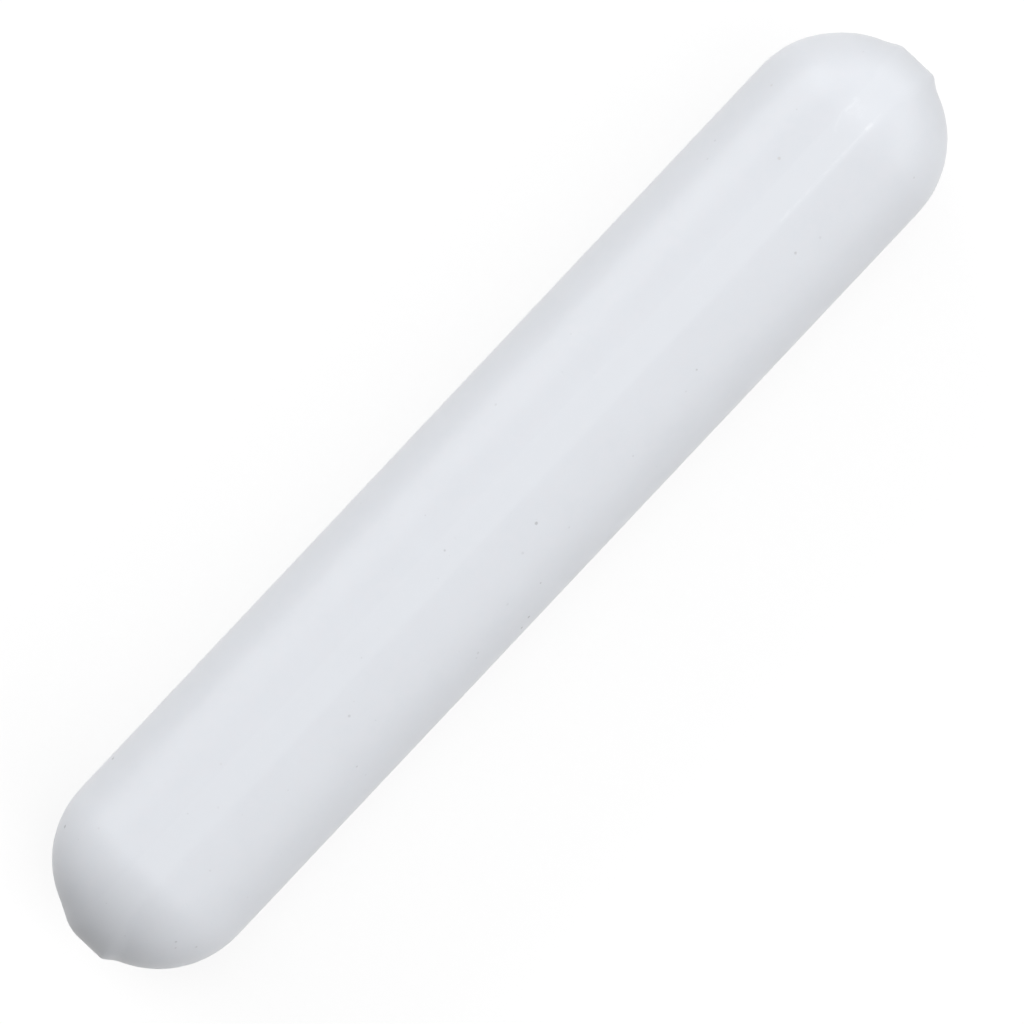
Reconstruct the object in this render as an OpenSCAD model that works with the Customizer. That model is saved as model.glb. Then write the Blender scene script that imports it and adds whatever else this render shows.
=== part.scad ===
// Magnetic stir bar: a rod magnet sealed in a one-piece moulded PTFE jacket.
// The bar lies along X, with its tips at both ends of X, and rests on Z = 0.
// The mould parted in the upright plane through the bar's axis, and the line that it left was
// trimmed flat all the way round. It is the flat that the bar rests on, the same flat along the
// top, a narrow flat over each round end, and a flat nub on each tip.

/* [Jacket] */
// Length over the two tips
jacket_length = 152; // [100:1:200]
// Diameter of the round body and of its two round ends
jacket_diameter = 27; // [20:0.5:40]
// Thickness of the jacket over the magnet's side
side_wall = 3.95; // [2:0.05:6]
// Depth of the trimmed flats below the round
flat_depth = 0.18; // [0.1:0.01:0.3]

/* [Nubs] */
// How far each nub stands out past the round end
nub_height = 0.33; // [0.2:0.01:0.5]
// Width of the flat on each nub
nub_width = 5.2; // [3:0.1:6.5]
// Width of each nub where its flanks meet the round end
nub_foot_width = 8.8; // [8.5:0.1:11]
// How much tighter the nub's flat curves over the end than the round end does
nub_tightening = 0.55; // [0.5:0.05:3]

/* [Magnet] */
// How far each end of the magnet reaches into the round end of the jacket
magnet_reach = 1.38; // [0:0.02:4]
// Bevel round each end of the magnet
magnet_bevel = 0.8; // [0.2:0.1:1.5]
// Space all round the magnet inside the jacket
magnet_clearance = 0.05; // [0.02:0.01:0.15]

/* [Hidden] */
$fn = 128;

radius = jacket_diameter / 2;
dome_x = jacket_length / 2 - nub_height - radius;    // centre of each round end
trim_radius = radius - flat_depth;                   // from the bar's axis to its flats

// Each nub is the rim of a wheel that lies across the bar, with sloping flanks.
nub_radius = radius - nub_tightening;
nub_x = jacket_length / 2 - nub_radius;
foot_drop = nub_height + radius - sqrt(pow(radius, 2) - pow(nub_foot_width / 2, 2));
flank_slope = foot_drop / (nub_foot_width / 2 - nub_width / 2);
wheel_half_width = radius * sin(atan(flank_slope));  // its sides lie well inside the round end

cavity_radius = radius - side_wall;
cavity_half_length = dome_x + magnet_reach;

// A rod along X with bevelled ends.
module bevelled_rod(rod_radius, half_length, bevel) {
    rotate([0, 90, 0])
        rotate_extrude()
            polygon([
                [0, -half_length],
                [rod_radius - bevel, -half_length],
                [rod_radius, bevel - half_length],
                [rod_radius, half_length - bevel],
                [rod_radius - bevel, half_length],
                [0, half_length],
            ]);
}

// The round body with its two hemispherical ends.
module capsule() {
    rotate([0, 90, 0])
        cylinder(r = radius, h = 2 * dome_x, center = true);
    for (side = [-1, 1])
        translate([side * dome_x, 0, 0])
            rotate([0, 90, 0])
                sphere(r = radius);
}

// All that is left after trimming: a slab between the two flats, with a half circle at each end.
module trimmed_outline() {
    cube([2 * dome_x, jacket_diameter, 2 * trim_radius], center = true);
    for (side = [-1, 1])
        translate([side * dome_x, 0, 0])
            rotate([90, 0, 0])
                cylinder(r = trim_radius, h = jacket_diameter, center = true);
}

// The wheel whose rim stands out of a round end as its nub.
module nub_wheel() {
    side_radius = nub_radius - (wheel_half_width - nub_width / 2) * flank_slope;
    rotate([90, 0, 0])
        rotate_extrude()
            polygon([
                [0, -wheel_half_width],
                [side_radius, -wheel_half_width],
                [nub_radius, -nub_width / 2],
                [nub_radius, nub_width / 2],
                [side_radius, wheel_half_width],
                [0, wheel_half_width],
            ]);
}

module jacket() {
    color("whitesmoke")
        translate([0, 0, trim_radius])
            difference() {
                union() {
                    intersection() {
                        capsule();
                        trimmed_outline();
                    }
                    for (side = [-1, 1])
                        translate([side * nub_x, 0, 0])
                            nub_wheel();
                }
                bevelled_rod(cavity_radius, cavity_half_length, magnet_bevel);
            }
}

module magnet() {
    color("dimgray")
        translate([0, 0, trim_radius])
            bevelled_rod(cavity_radius - magnet_clearance,
                         cavity_half_length - magnet_clearance,
                         magnet_bevel);
}

jacket();
magnet();
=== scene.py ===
import math

import bmesh
import bpy
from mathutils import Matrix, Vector, noise


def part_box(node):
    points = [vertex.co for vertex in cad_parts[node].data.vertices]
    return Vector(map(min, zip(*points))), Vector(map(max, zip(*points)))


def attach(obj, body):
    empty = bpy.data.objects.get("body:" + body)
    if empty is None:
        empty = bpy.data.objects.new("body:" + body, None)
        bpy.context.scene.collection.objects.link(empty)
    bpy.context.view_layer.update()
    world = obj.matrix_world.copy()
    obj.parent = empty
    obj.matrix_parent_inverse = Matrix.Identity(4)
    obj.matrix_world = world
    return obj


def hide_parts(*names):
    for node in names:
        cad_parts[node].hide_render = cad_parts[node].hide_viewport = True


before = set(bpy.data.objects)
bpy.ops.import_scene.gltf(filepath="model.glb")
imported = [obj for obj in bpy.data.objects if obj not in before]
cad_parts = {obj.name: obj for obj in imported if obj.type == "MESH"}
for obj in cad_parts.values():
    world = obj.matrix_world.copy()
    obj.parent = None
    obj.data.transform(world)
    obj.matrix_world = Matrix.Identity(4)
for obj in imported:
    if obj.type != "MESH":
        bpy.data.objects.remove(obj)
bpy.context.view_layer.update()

mm = 0.001
noiseMiddle = 0.5
scene = bpy.context.scene
print("frame loaded:", ", ".join(sorted(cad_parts)))

# The jacket is one moulding that lies along X. Its mould parted in the bar's upright plane, and a
# trimmed strip runs round it there: along the top, over both ends, where it becomes a nub, and
# underneath. A place on the skin is given by x, by its turn from straight up in that plane, and by
# its row, the latitude out toward one side.

jacketShape = {
    "nubStand": 0.33 * mm,        # how far each nub stands out past the round end
    "nubTightening": 0.55 * mm,   # how much tighter the nub curves than the round end
    "nubEdges": {1: (2.68 * mm, 0.57), -1: (2.84 * mm, 0.77)},    # half width and slope, on each side
    "nubFlank": 3 * mm,           # the flanks have sunk into the round end by this far out
    "nubShift": -0.3 * mm,        # how far the nubs sit off the bar's middle
    "nubCrisp": 0.3 * mm,         # rounding of the nub's corners at the tip
    "nubWorn": 0.8 * mm,          # the one corner that is worn
    "nubSoft": 1.1 * mm,          # rounding where the nub runs out into the strip
    "nubSoftening": (0.98, 0.85),     # where it changes: 1 at the tip, 0 on top
    "nubFoot": 0.25 * mm,
    "stripShift": 0.33 * mm,      # how far the strip along the top sits off the middle
    "crossing": (0.2, 0.95),      # where it crosses to the nub's place: 0 on top, 1 at the tip
    "stripWander": (11 * mm, 0.06 * mm),
    "crispEdge": 0.04 * mm,       # rounding of the strip's edges
    "softEdge": 0.16 * mm,
    "topReach": 0.2,              # the soft edge is on the +Y side, down to this cosine of the turn
    "edgeSoftening": (0.1, 0.5),      # the edges of the strip soften over the round ends
    "hollows": [                  # where the moulding sank: which way from the end's centre, spread, depth
        ((0.69, 0.72, 0.0), 0.25, 0.19 * mm),
        ((-0.92, 0.40, 0.1), 0.34, 0.20 * mm),
    ],
    "hollowRise": 3,              # how fast they fade in from the straight body
    "skinWaves": (13 * mm, 0.035 * mm),    # size and depth
    "skinRipple": (2.4 * mm, 0.005 * mm),
    "trimWaves": (6 * mm, 0.006 * mm),
    "trimSoft": 0.02 * mm,        # how softly the trimmed finish ends, in height and across a nub
    "nubTrim": (0.4 * mm, -0.1 * mm),
    "bodySteps": 100,             # stations along the body and round each end
    "endSteps": 120,
    # rows on each side of the middle, in bands: start, end and count; closest at the edges
    "rowBands": [(0, 1.8 * mm, 9), (1.8 * mm, 3.0 * mm, 20), (3.0 * mm, 5.4 * mm, 16)],
    "sideRows": 30,
    "wallSegments": 96,           # round the hollow that holds the magnet
    "magnetClearance": 0.05 * mm,
    "magnetBevel": 0.8 * mm,
}

jacketLow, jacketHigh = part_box("jacket")
magnetLow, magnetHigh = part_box("magnet")
roundRadius = (jacketHigh.y - jacketLow.y) / 2
trimRadius = (jacketHigh.z - jacketLow.z) / 2
axisHeight = jacketLow.z + trimRadius
endCentre = jacketHigh.x - jacketShape["nubStand"] - roundRadius   # centre of each round end
nubRadius = roundRadius - jacketShape["nubTightening"]
nubCentre = jacketHigh.x - nubRadius
stripHalfWidth = math.sqrt(roundRadius ** 2 - trimRadius ** 2)


def softMin(a, b, reach):
    # the lower of two heights, rounded off where they come within this reach of each other
    near = max(reach - abs(a - b), 0) / reach
    return min(a, b) - near * near * reach / 4


def softMax(a, b, reach):
    return -softMin(-a, -b, reach)


def rise(low, high, value):
    # 0 at low and 1 at high, smoothly
    share = min(max((value - low) / (high - low), 0), 1)
    return share * share * (3 - 2 * share)


def waves(place, size):
    # smooth noise from 0 to 1
    return 0.5 + 0.5 * noise.noise(place / size)


def jacketStations():
    # (x, turn) once round the bar in its upright plane
    body, end = jacketShape["bodySteps"], jacketShape["endSteps"]
    top = [(endCentre * (2 * i / body - 1), 0) for i in range(body)]
    right = [(endCentre, math.pi * i / end) for i in range(end)]
    bottom = [(-x, math.pi) for x, turn in top]
    left = [(-endCentre, math.pi + turn) for x, turn in right]
    return top + right + bottom + left


def jacketRows():
    # the latitudes of the rows, from one side over the middle to the other
    bands, sideRows = jacketShape["rowBands"], jacketShape["sideRows"]
    across = [low + (high - low) * i / count for low, high, count in bands for i in range(count)]
    half = [math.asin(y / roundRadius) for y in across]
    last = math.asin(bands[-1][1] / roundRadius)
    half += [last + (math.pi / 2 - last) * i / sideRows for i in range(sideRows)]
    return [-row for row in reversed(half[1:])] + half


def midline(x, turn):
    # where the middle of the strip or nub runs, off the bar's own middle
    towardTip = abs(math.sin(turn)) if abs(x) >= endCentre else 0
    if math.cos(turn) > 0:
        size, depth = jacketShape["stripWander"]
        stray = 2 * waves(Vector((x, 0, 0)), size) - 1
        strip = jacketShape["stripShift"] + depth * stray * (1 - towardTip)
    else:
        strip = 0
    return strip + (jacketShape["nubShift"] - strip) * rise(*jacketShape["crossing"], towardTip)


def nubRim(turn):
    # height of the nub's rim above the centre of the round end, at this turn
    offset = nubCentre - endCentre
    return offset * abs(math.sin(turn)) + math.sqrt(nubRadius ** 2 - (math.cos(turn) * offset) ** 2)


def sinking(way, x):
    # how much lower the skin lies, this way out from the nearest point of the axis
    depth = 0
    for middle, spread, most in jacketShape["hollows"]:
        if x * middle[0] > 0 and abs(x) >= endCentre:
            angle = way.angle(Vector(middle))
            fromBody = min(abs(way.x) * jacketShape["hollowRise"], 1)
            depth += most * math.exp(-(angle / spread) ** 2) * fromBody
    return depth


def jacketPoint(x, turn, row):
    # a point of the skin, and how much it was trimmed there, from 0 to 1
    shape = jacketShape
    out = Vector((math.sin(turn), 0, math.cos(turn)))
    middle = midline(x, turn)
    row += middle * math.cos(row) ** 2 / roundRadius
    base = Vector((x, 0, axisHeight))
    way = out * math.cos(row) + Vector((0, math.sin(row), 0))
    skin = base + way * roundRadius
    radius = roundRadius - sinking(way, x)
    for size, depth in (shape["skinWaves"], shape["skinRipple"]):
        radius -= depth * waves(skin, size)
    across = radius * math.sin(row)
    rounded = radius * math.cos(row)

    upper = math.cos(turn) > shape["topReach"]
    # the trimmed strip is wavy too, except for the flat that the bar rests on
    size, depth = shape["trimWaves"]
    level = trimRadius - (depth * waves(skin, size) if turn != math.pi else 0)
    edge = shape["softEdge"] if upper and across > middle else shape["crispEdge"]
    edge += (shape["softEdge"] - edge) * rise(*shape["edgeSoftening"], abs(way.x))
    height = softMin(rounded, level, edge)
    soft = shape["trimSoft"]
    trimmed = rise(-soft, soft, rounded - level)

    halfWidth, slope = shape["nubEdges"][1 if across > middle else -1]
    beyond = abs(across - middle) - halfWidth
    if abs(x) >= endCentre and beyond < shape["nubFlank"]:
        rim = nubRim(turn)
        corner = shape["nubWorn"] if x < 0 and across > middle else shape["nubCrisp"]
        corner += (shape["nubSoft"] - corner) * rise(*shape["nubSoftening"], abs(math.sin(turn)))
        nub = softMin(rim, rim - beyond * slope, corner)
        onNub = rise(-soft, soft, nub - height)
        trimmed += (rise(*shape["nubTrim"], beyond) - trimmed) * onNub
        height = softMax(height, nub, shape["nubFoot"])
    return base + out * height + Vector((0, across, 0)), trimmed


def addMagnetHollow(mesh):
    # the sealed hollow that the magnet fills, its walls facing inward
    clearance, bevel = jacketShape["magnetClearance"], jacketShape["magnetBevel"]
    radius = (magnetHigh.y - magnetLow.y) / 2 + clearance
    end = magnetHigh.x + clearance
    profile = [(-end, radius - bevel), (bevel - end, radius), (end - bevel, radius), (end, radius - bevel)]
    count = jacketShape["wallSegments"]
    turns = [2 * math.pi * i / count for i in range(count)]
    rings = []
    for x, r in profile:
        rings.append([mesh.verts.new((x, r * math.cos(t), axisHeight + r * math.sin(t))) for t in turns])
    for near, far in zip(rings, rings[1:]):
        for i in range(count):
            j = (i + 1) % count
            mesh.faces.new((near[i], near[j], far[j], far[i]))
    mesh.faces.new(rings[0][::-1])
    mesh.faces.new(rings[-1])
    for ring in rings:
        for i in range(count):
            mesh.edges.get((ring[i], ring[(i + 1) % count])).smooth = False


def buildJacket():
    mesh = bmesh.new()
    trimLayer = mesh.verts.layers.float.new("trimmed")
    wrapLayer = mesh.loops.layers.uv.new("wrap")
    stations, rows = jacketStations(), jacketRows()
    sides = {}     # the points on either side, which the top and bottom share
    columns = []   # one list of points for each station, from side to side
    runs = [0]     # the way gone round the bar at each station
    for index, (x, turn) in enumerate(stations):
        column = []
        for row in rows:
            place, trimmed = jacketPoint(x, turn, row)
            point = mesh.verts.new(place)
            point[trimLayer] = trimmed
            column.append(point)
        ends = []
        for side in (-1, 1):
            key = (round(x / mm, 3), side)
            if key not in sides:
                sides[key] = mesh.verts.new((x, side * roundRadius, axisHeight))
            ends.append(sides[key])
        columns.append([ends[0]] + column + [ends[1]])
        nextX, nextTurn = stations[(index + 1) % len(stations)]
        turned = (nextTurn - turn) % (2 * math.pi)
        runs.append(runs[-1] + abs(nextX - x) + turned * roundRadius)
    latitudes = [-math.pi / 2] + rows + [math.pi / 2]
    for index, column in enumerate(columns):
        following = columns[(index + 1) % len(columns)]
        for row in range(len(latitudes) - 1):
            corners = [(column[row], index, row), (following[row], index + 1, row),
                       (following[row + 1], index + 1, row + 1), (column[row + 1], index, row + 1)]
            kept = [corner for k, corner in enumerate(corners) if corner[0] is not corners[k - 1][0]]
            face = mesh.faces.new([point for point, station, latitude in kept])
            for loop, (point, station, latitude) in zip(face.loops, kept):
                loop[wrapLayer].uv = (runs[station], latitudes[latitude] * roundRadius)
    bmesh.ops.recalc_face_normals(mesh, faces=mesh.faces)
    addMagnetHollow(mesh)
    for face in mesh.faces:
        face.smooth = True
    data = bpy.data.meshes.new("ptfeJacket")
    mesh.to_mesh(data)
    mesh.free()
    piece = bpy.data.objects.new("ptfeJacket", data)
    scene.collection.objects.link(piece)
    triangles = sum(len(polygon.vertices) - 2 for polygon in data.polygons)
    print("jacket moulded:", triangles, "triangles")
    return piece


class Wire:
    # an output of a shader node, so that sums with it are written as Python
    def __init__(self, nodes, socket):
        self.nodes = nodes
        self.socket = socket

    def output(self, name):
        # another output of the same node
        return Wire(self.nodes, self.socket.node.outputs[name])

    def maths(self, operation, first, second):
        return self.nodes.add("ShaderNodeMath", {"operation": operation}, {0: first, 1: second})

    def __add__(self, other):
        return self.maths("ADD", self, other)

    __radd__ = __add__

    def __sub__(self, other):
        return self.maths("SUBTRACT", self, other)

    def __rsub__(self, other):
        return self.maths("SUBTRACT", other, self)

    def __mul__(self, other):
        return self.maths("MULTIPLY", self, other)

    __rmul__ = __mul__

    def most(self, other):
        return self.maths("MAXIMUM", self, other)


class Nodes:
    # the node tree of a material or of the world
    def __init__(self, owner):
        owner.use_nodes = True
        self.tree = owner.node_tree
        self.tree.nodes.clear()

    def add(self, kind, settings=None, values=None):
        # the settings come first, then the values or wires of its sockets
        node = self.tree.nodes.new(kind)
        for name, setting in (settings or {}).items():
            setattr(node, name, setting)
        for name, value in (values or {}).items():
            if isinstance(value, Wire):
                self.tree.links.new(value.socket, node.inputs[name])
            else:
                node.inputs[name].default_value = value
        return Wire(self, node.outputs[0]) if node.outputs else None

    def vector(self, operation, first, second, third=(0, 0, 0)):
        return self.add("ShaderNodeVectorMath", {"operation": operation}, {0: first, 1: second, 2: third})

    def cloud(self, place, size, detail=2):
        # smooth noise with blotches of about this size
        return self.add("ShaderNodeTexNoise", {}, {"Vector": place, "Scale": 1 / size, "Detail": detail})

    def streaks(self, place, length, width, lean=0.0):
        # noise drawn out along X, turned by lean about Z
        settings = {"rotation_type": "Z_AXIS"}
        turned = self.add("ShaderNodeVectorRotate", settings, {"Vector": place, "Angle": lean})
        squeezed = self.vector("MULTIPLY", turned, (1 / length, 1 / width, 1 / width))
        return self.cloud(squeezed, 1)

    def fade(self, value, low, high):
        # 0 at low and 1 at high, smoothly
        limits = {"Value": value, "From Min": low, "From Max": high}
        return self.add("ShaderNodeMapRange", {"interpolation_type": "SMOOTHSTEP"}, limits)

    def stroke(self, place, start, end, width):
        # 1 along the line from start to end, fading out at half its width
        start, end = Vector((*start, 0)), Vector((*end, 0))
        run = end - start
        gone = self.vector("DOT_PRODUCT", self.vector("SUBTRACT", place, start), run).output("Value")
        share = self.add("ShaderNodeMapRange", {}, {"Value": gone, "From Max": run.length_squared})
        nearest = self.vector("MULTIPLY_ADD", share, run, start)
        return self.fade(self.vector("DISTANCE", place, nearest).output("Value"), width / 2, 0)

    def grains(self, place, spacing, radius, chance):
        # 1 in scattered round grains up to this radius, with soft edges, in this share of the cells
        cells = self.add("ShaderNodeTexVoronoi", {}, {"Vector": place, "Scale": 1 / spacing})
        dice = self.add("ShaderNodeSeparateColor", {}, {"Color": cells.output("Color")})
        reach = self.fade(dice, 1 - chance, 1) * (radius / spacing)
        softness = radius / spacing / 2
        return self.fade(cells - reach, 0, -softness)

    def mix(self, share, first, second):
        # sockets 6 and 7 of the Mix node are its colours
        return self.add("ShaderNodeMix", {"data_type": "RGBA"}, {0: share, 6: first, 7: second}).output(2)

    def attribute(self, name):
        return self.add("ShaderNodeAttribute", {"attribute_name": name}).output("Fac")

    def bump(self, height):
        # height in millimetres
        return self.add("ShaderNodeBump", {}, {"Height": height, "Distance": mm, "Strength": 1.0})


# the moulded plastic of the jacket: satin, faintly cloudy, with specks, dents and fine scratches, and
# rubbed strokes whose lighter colour is a painted highlight
ptfeLook = {
    "white": (0.803, 0.827, 0.870, 1),
    "cloudier": (0.793, 0.817, 0.860, 1),
    "warmer": (0.805, 0.824, 0.866, 1),
    "paintedSheenWhite": (0.818, 0.841, 0.883, 1),
    "paintedSheenShare": 0.5,         # how far the trimmed strip goes toward a lighter white, a painted sheen
    "dirt": (0.20, 0.20, 0.21, 1),
    "rust": (0.34, 0.28, 0.22, 1),
    "skinRoughness": 0.33,
    "trimRoughness": 0.31,
    "cloudRoughness": 0.06,      # how much the clouds, tint and scratches change it
    "tintRoughness": 0.04,
    "scratchRoughness": 0.06,
    "rubbedRoughness": 0.12,
    "refraction": 1.35,
    "scatter": 0.25,             # share of the light that spreads inside, and how far
    "scatterReach": 0.6 * mm,
    "scatterSpread": (1.0, 1.0, 1.0),
    "cloudSize": 6 * mm,
    "tintSize": 1.6 * mm,
    "cloudRange": (0.3, 0.7),    # the noise from which the clouds begin, and where they are full
    "tintRange": (0.35, 0.7),
    "speckStray": 0.12 * mm,     # specks are ragged because their places stray a little
    "speckStraySize": 0.2 * mm,
    "speckEdge": (1.3, 0.5),     # where a speck begins and is darkest, as shares of its radius
    "faintGrains": (1.5 * mm, 0.16 * mm, 0.2),    # spacing, radius and share of cells that hold one
    "faintDarkness": 0.12,
    "dents": (2.4 * mm, 0.32 * mm, 0.35),
    "bumps": (2.6 * mm, 0.26 * mm, 0.25),
    "bumpShift": (0.1, 0.2, 0.3),     # metres, so that dents and bumps don't meet
    "dentDepth": 0.012,          # heights in millimetres
    "grainSize": 0.35 * mm,
    "grainHeight": 0.0012,
    "scratches": [               # length, width, lean in radians, and the noise that makes one
        (2.6 * mm, 0.09 * mm, 0.7, 0.70, 0.80),
        (1.8 * mm, 0.08 * mm, -0.85, 0.72, 0.82),
    ],
    "scratchPlaces": (0.4, 0.6),     # they lie only where the clouds are this thick
    "scratchDepth": 0.004,
    "scrapes": (5 * mm, 0.12 * mm),
    "scrapeDepth": 0.003,
    "gritSize": (0.9 * mm, 0.3 * mm),
    "gritGaps": (0.30, 0.55),    # the noise that parts the rubbed strokes into beads
    # the lighter colour of the rubbed strokes is a painted highlight
    "paintedGlintWhite": (0.91, 0.93, 0.97, 1),
    "rubbedShine": 0.25,         # how much gloss the rubbed strokes get
}

# strokes where the trimmed strip was rubbed, given a little coat gloss and a lighter colour that is a
# painted highlight: from and to, each as the way gone round the bar and the way off the strip's middle,
# then width and strength, the lengths in millimetres
rubsWithPaintedGlints = [
    ((110.6, -1.95), (127.6, -1.95), 0.60, 0.34),     # one long hairline close to the strip's edge, its glint a painted highlight over a real rub
    ((111.5, -1.95), (112.3, -1.93), 0.80, 0.42),
    ((126.0, -1.93), (126.9, -1.96), 0.80, 0.85),
    ((127.4, -1.93), (129.0, -1.85), 0.50, 0.14),
    ((123.3, 0.75), (124.4, 1.35), 0.60, 0.26),       # and a scuffed patch beyond it, its glint also a painted highlight
    ((124.2, 1.25), (125.6, 1.65), 0.80, 0.16),
    ((125.8, 1.50), (126.7, 1.45), 0.80, 0.42),
    ((126.9, 1.35), (127.9, 1.65), 0.90, 0.36),
    ((127.8, 1.30), (126.6, -0.30), 1.60, 0.20),
    ((125.9, 0.90), (127.6, 0.30), 1.80, 0.16),
]

# specks in the top of the skin: x, y, width and darkness from 0 to 1, the lengths in millimetres
greySpecks = [
    (1.1, -5.2, 0.44, 0.37), (47.0, -5.6, 0.38, 0.25), (-66.4, 11.5, 0.50, 0.40),
    (-9.0, 0.7, 0.38, 0.25), (-31.8, -4.7, 0.38, 0.20), (28.3, -6.6, 0.30, 0.25),
    (-3.9, -10.7, 0.30, 0.31), (-35.9, -9.7, 0.30, 0.22), (8.3, 8.4, 0.40, 0.12),
    (-8.0, -12.6, 0.40, 0.50), (-9.6, -12.9, 0.40, 0.55), (3.5, -8.5, 0.28, 0.12),
    (50.7, 11.1, 0.36, 0.15), (48.3, 10.2, 0.30, 0.15), (64.1, -9.9, 0.30, 0.18),
    (71.1, 5.3, 0.30, 0.10), (-56.4, 13.0, 0.44, 0.60), (-66.9, -8.3, 0.36, 0.25),
    (-67.6, -8.8, 0.30, 0.20), (-65.9, -10.6, 0.34, 0.25), (-63.1, 8.2, 0.34, 0.10),
    (-2.7, -6.5, 0.40, 0.12), (50.5, -6.5, 0.40, 0.10), (-8.6, -9.5, 0.40, 0.10),
    (15.3, -8.2, 0.26, 0.17), (-15.5, -11.0, 0.36, 0.20), (-16.1, -11.3, 0.26, 0.15),
    (-57.3, -5.3, 0.28, 0.10), (-50.9, -0.7, 0.36, 0.07),
]
rustySpecks = [(54.0, 3.8, 0.46, 0.20), (60.4, 10.7, 0.40, 0.15), (-46.8, 2.7, 0.36, 0.08)]


def skinAbove(x, y):
    # the point of the top of the skin over (x, y)
    past = max(abs(x) - endCentre, 0)
    return Vector((x, y, axisHeight + math.sqrt(max(roundRadius ** 2 - y ** 2 - past ** 2, 0))))


def speckle(nodes, place, specks):
    found = 0
    for x, y, width, darkness in specks:
        gap = nodes.vector("DISTANCE", place, skinAbove(x * mm, y * mm)).output("Value")
        radius = width * mm / 2
        outer, inner = [radius * share for share in ptfeLook["speckEdge"]]
        speck = nodes.fade(gap, outer, inner) * darkness
        found = speck.most(found)
    return found


def ptfeFinish():
    look = ptfeLook
    material = bpy.data.materials.new("whitePtfe")
    nodes = Nodes(material)
    place = nodes.add("ShaderNodeTexCoord").output("Object")
    wrap = nodes.add("ShaderNodeUVMap", {"uv_map": "wrap"})
    trimmed = nodes.attribute("trimmed")

    cloud = nodes.cloud(place, look["cloudSize"], detail=3)
    tint = nodes.cloud(place, look["tintSize"])
    colour = nodes.mix(nodes.fade(cloud, *look["cloudRange"]), look["white"], look["cloudier"])
    colour = nodes.mix(nodes.fade(tint, *look["tintRange"]), colour, look["warmer"])
    # the trimmed strip is painted lighter: a painted sheen where its flat face catches the light
    colour = nodes.mix(trimmed * look["paintedSheenShare"], colour, look["paintedSheenWhite"])

    strayScale = {"Vector": place, "Scale": 1 / look["speckStraySize"]}
    stray = nodes.add("ShaderNodeTexNoise", {}, strayScale).output("Color")
    ragged = nodes.vector("MULTIPLY_ADD", stray, (look["speckStray"],) * 3, place)
    dark = speckle(nodes, ragged, greySpecks)
    rusty = speckle(nodes, ragged, rustySpecks)
    faint = nodes.grains(ragged, *look["faintGrains"]) * look["faintDarkness"]
    colour = nodes.mix(dark.most(faint), colour, look["dirt"])
    colour = nodes.mix(rusty, colour, look["rust"])

    # the rubbed strokes: their lighter colour is a painted highlight, their coat gloss is real
    rubbedAndPaintedGlint = 0
    for start, end, width, strength in rubsWithPaintedGlints:
        start, end = [(along * mm, across * mm) for along, across in (start, end)]
        rubbedAndPaintedGlint = (nodes.stroke(wrap, start, end, width * mm) * strength).most(rubbedAndPaintedGlint)
    rubbedAndPaintedGlint = rubbedAndPaintedGlint * nodes.fade(nodes.streaks(wrap, *look["gritSize"]), *look["gritGaps"])
    colour = nodes.mix(rubbedAndPaintedGlint, colour, look["paintedGlintWhite"])

    dents = nodes.grains(place, *look["dents"])
    elsewhere = nodes.vector("ADD", place, look["bumpShift"])
    bumps = nodes.grains(elsewhere, *look["bumps"])
    scratches = 0
    for length, width, lean, low, high in look["scratches"]:
        scratches = nodes.fade(nodes.streaks(place, length, width, lean), low, high).most(scratches)
    scratches = scratches * nodes.fade(cloud, *look["scratchPlaces"])
    scrapes = nodes.streaks(wrap, *look["scrapes"]) * trimmed

    roughness = look["skinRoughness"] + trimmed * (look["trimRoughness"] - look["skinRoughness"])
    roughness = roughness + (cloud - noiseMiddle) * look["cloudRoughness"]
    roughness = roughness + (tint - noiseMiddle) * look["tintRoughness"]
    roughness = roughness + scratches * look["scratchRoughness"]

    height = nodes.cloud(place, look["grainSize"]) * look["grainHeight"]
    height = height + (bumps - dents) * look["dentDepth"]
    height = height - scratches * look["scratchDepth"] + scrapes * look["scrapeDepth"]
    skin = nodes.add("ShaderNodeBsdfPrincipled", {}, {
        "Base Color": colour,
        "Roughness": roughness,
        "Normal": nodes.bump(height),
        "IOR": look["refraction"],
        "Subsurface Weight": look["scatter"],
        "Subsurface Radius": look["scatterSpread"],
        "Subsurface Scale": look["scatterReach"],
        "Coat Weight": rubbedAndPaintedGlint * look["rubbedShine"],
        "Coat Roughness": look["rubbedRoughness"],
    })
    nodes.add("ShaderNodeOutputMaterial", {}, {"Surface": skin})
    print("jacket finish:", len(nodes.tree.nodes), "nodes")
    return material


# the cast magnet, sealed inside: dark and dull, with a coarse skin
magnetLook = {
    "dark": (0.16, 0.16, 0.17, 1),
    "light": (0.27, 0.265, 0.26, 1),
    "brown": (0.17, 0.13, 0.11, 1),
    "blotchSize": 4 * mm,
    "grainSize": 0.5 * mm,
    "grainHeight": 0.03,      # in millimetres
    "grainRange": (0.3, 0.7),     # the noise from which grains and blotches begin, and where they are full
    "blotchRange": (0.55, 0.75),
    "pits": (1.2 * mm, 0.3 * mm, 0.5),    # spacing, radius and share of cells that hold one
    "brownShare": 0.5,
    "metallic": 0.9,
    "roughness": 0.45,
    "blotchRoughness": 0.2,
    "pitRoughness": 0.15,
}


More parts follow.
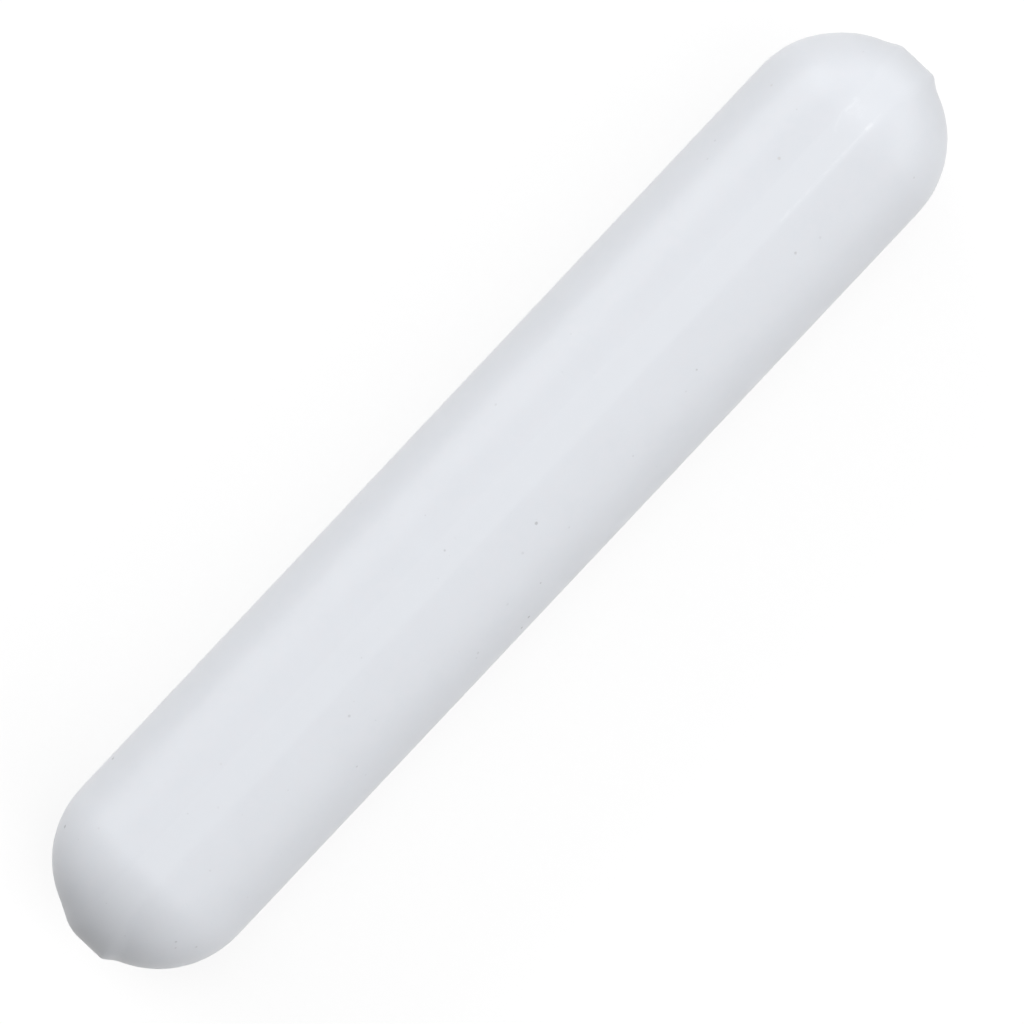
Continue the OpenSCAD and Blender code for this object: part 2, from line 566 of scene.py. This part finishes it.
def magnetFinish():
    look = magnetLook
    material = bpy.data.materials.new("castMagnet")
    nodes = Nodes(material)
    place = nodes.add("ShaderNodeTexCoord").output("Object")
    blotches = nodes.cloud(place, look["blotchSize"], detail=4)
    grain = nodes.cloud(place, look["grainSize"], detail=4)
    pits = nodes.grains(place, *look["pits"])
    colour = nodes.mix(nodes.fade(grain, *look["grainRange"]), look["dark"], look["light"])
    browned = nodes.fade(blotches, *look["blotchRange"]) * look["brownShare"]
    colour = nodes.mix(browned, colour, look["brown"])
    roughness = look["roughness"] + blotches * look["blotchRoughness"] + pits * look["pitRoughness"]
    metal = nodes.add("ShaderNodeBsdfPrincipled", {}, {
        "Base Color": colour,
        "Metallic": look["metallic"],
        "Roughness": roughness,
        "Normal": nodes.bump((grain - pits) * look["grainHeight"]),
    })
    nodes.add("ShaderNodeOutputMaterial", {}, {"Surface": metal})
    print("magnet finish:", len(nodes.tree.nodes), "nodes")
    return material


studio = {
    "floorSize": 4.0,            # metres
    "floorGap": 0.02 * mm,       # the floor lies this far under the bar
    "floorShade": (0.20, 0.20, 0.198, 1),    # for the light that it throws back
    "shadowShade": (0.25, 0.25, 0.25, 1),     # the part of what is seen that shadows darken
    "floorGlow": (0.80, 0.80, 0.80, 1),       # and the part that they do not
    "farWhite": (1, 1, 1, 1),                 # far from the bar the floor is all glow
    "shadowReach": (250 * mm, 600 * mm),
    "lens": 150,                 # millimetres, as it is written on a lens
    "fieldWidth": 128.46 * mm,   # across the picture at the height of the bar's axis
    "barTurn": 46.70,            # degrees of the bar above the picture's level
    "barShift": -2.14 * mm,      # the bar lies this far off the middle, across itself
}

# soft boxes, each aimed at the bar: place, width and height in metres, and watts
lamps = {
    "over": ((0, 0.24, 1.92), 0.96, 1.12, 4.6),
    "overEnd": ((0.80, 0, 1.76), 0.96, 1.2, 6.0),
    "endLow": ((1.76, 0, 0.21), 1.6, 0.38, 2.2),
    "left": ((0, 1.22, 1.38), 1.44, 1.44, 6.6),
    "leftLow": ((0.35, 1.70, 0.62), 1.6, 1.2, 17.3),
    "leftEnd": ((1.22, 1.22, 0.62), 1.28, 0.8, 3.4),
    "right": ((0, -1.15, 1.47), 1.44, 1.6, 13.1),
    "rightLow": ((0.35, -1.70, 0.62), 1.6, 0.96, 8.2),
    "rightEnd": ((1.22, -1.22, 0.62), 1.28, 0.8, 5.7),
}


def addLamp(name, place, width, height, watts):
    data = bpy.data.lights.new(name, "AREA")
    data.shape = "RECTANGLE"
    data.size = width
    data.size_y = height
    data.energy = watts
    lamp = bpy.data.objects.new(name, data)
    lamp.location = place
    lamp.rotation_euler = (-Vector(place)).to_track_quat("-Z", "Y").to_euler()
    lamp.visible_camera = False
    scene.collection.objects.link(lamp)


def seenDirectly(nodes):
    # 1 for camera, mirror and glass rays, 0 for light that bounces
    path = nodes.add("ShaderNodeLightPath")
    mirror = path.output("Is Glossy Ray").most(path.output("Is Transmission Ray"))
    return path.output("Is Camera Ray").most(mirror)


def addFloor():
    half = studio["floorSize"] / 2
    height = jacketLow.z - studio["floorGap"]
    mesh = bmesh.new()
    corners = ((-half, -half), (half, -half), (half, half), (-half, half))
    mesh.faces.new([mesh.verts.new((x, y, height)) for x, y in corners])
    data = bpy.data.meshes.new("floor")
    mesh.to_mesh(data)
    mesh.free()
    material = bpy.data.materials.new("paleFloor")
    nodes = Nodes(material)
    bounced = nodes.add("ShaderNodeBsdfDiffuse", {}, {"Color": studio["floorShade"]})
    shaded = nodes.add("ShaderNodeBsdfDiffuse", {}, {"Color": studio["shadowShade"]})
    place = nodes.add("ShaderNodeTexCoord").output("Object")
    distance = nodes.vector("DISTANCE", place, (0, 0, 0)).output("Value")
    white = nodes.mix(nodes.fade(distance, *studio["shadowReach"]), studio["floorGlow"], studio["farWhite"])
    glow = nodes.add("ShaderNodeEmission", {}, {"Color": white, "Strength": 1.0})
    seen = nodes.add("ShaderNodeAddShader", {}, {0: shaded, 1: glow})
    surface = nodes.add("ShaderNodeMixShader", {}, {0: seenDirectly(nodes), 1: bounced, 2: seen})
    nodes.add("ShaderNodeOutputMaterial", {}, {"Surface": surface})
    data.materials.append(material)
    floor = bpy.data.objects.new("floor", data)
    scene.collection.objects.link(floor)


def addWorld():
    # white where it is looked at, and no light from it
    scene.world = bpy.data.worlds.new("studio")
    nodes = Nodes(scene.world)
    white = nodes.add("ShaderNodeBackground", {}, {"Color": (1, 1, 1, 1), "Strength": seenDirectly(nodes)})
    nodes.add("ShaderNodeOutputWorld", {}, {"Surface": white})


def addCamera():
    # it looks straight down on the bar
    data = bpy.data.cameras.new("camera")
    data.lens = studio["lens"]
    distance = studio["fieldWidth"] * data.lens / data.sensor_width
    camera = bpy.data.objects.new("camera", data)
    camera.location = (0, studio["barShift"], axisHeight + distance)
    camera.rotation_euler = (0, 0, -math.radians(studio["barTurn"]))
    scene.collection.objects.link(camera)
    scene.camera = camera


jacket = buildJacket()
jacket.data.materials.append(ptfeFinish())
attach(jacket, "root")
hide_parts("jacket")

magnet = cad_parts["magnet"]
magnet.material_slots[0].material = magnetFinish()

addFloor()
addWorld()
for name, lamp in lamps.items():
    addLamp(name, *lamp)
addCamera()
scene.view_settings.view_transform = "Standard"
print("studio set:", len(lamps), "lamps")
